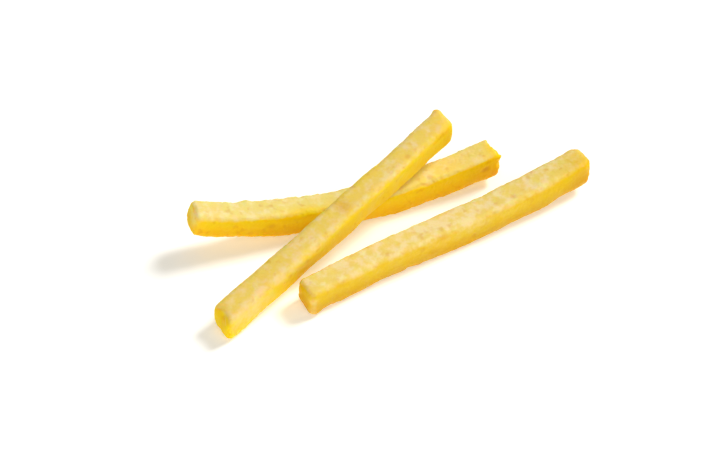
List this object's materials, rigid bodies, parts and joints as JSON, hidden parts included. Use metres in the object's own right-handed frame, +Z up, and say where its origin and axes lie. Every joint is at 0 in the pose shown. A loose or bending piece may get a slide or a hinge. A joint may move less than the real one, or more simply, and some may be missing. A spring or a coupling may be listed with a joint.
{
  "type": "french fries",
  "caption": "Straight-cut potato fries lying loose on a flat surface: a curled one, one leaning across it and one lying flat beside them.",
  "frame": {"origin": "on the surface the fries lie on, under the middle of the group's bounding box", "axes": "+X along the group's longest extent, roughly along the fries; +Z up, from the surface; +Y towards the far ends"},
  "size_m": [0.0942, 0.0574, 0.0187],
  "materials": {
    "fry_under_crust": "fried potato crust: golden, finely grained and pale-mottled, matt with a trace of oil",
    "fry_across_crust": "fried potato crust: golden, finely grained and pale-mottled, matt with a trace of oil",
    "fry_beside_crust": "fried potato crust: golden, finely grained and pale-mottled, matt with a trace of oil"
  },
  "bodies": {
    "root": {"fry_under": "fry_under_crust", "fry_across": "fry_across_crust", "fry_beside": "fry_beside_crust"}
  },
  "joints": []
}
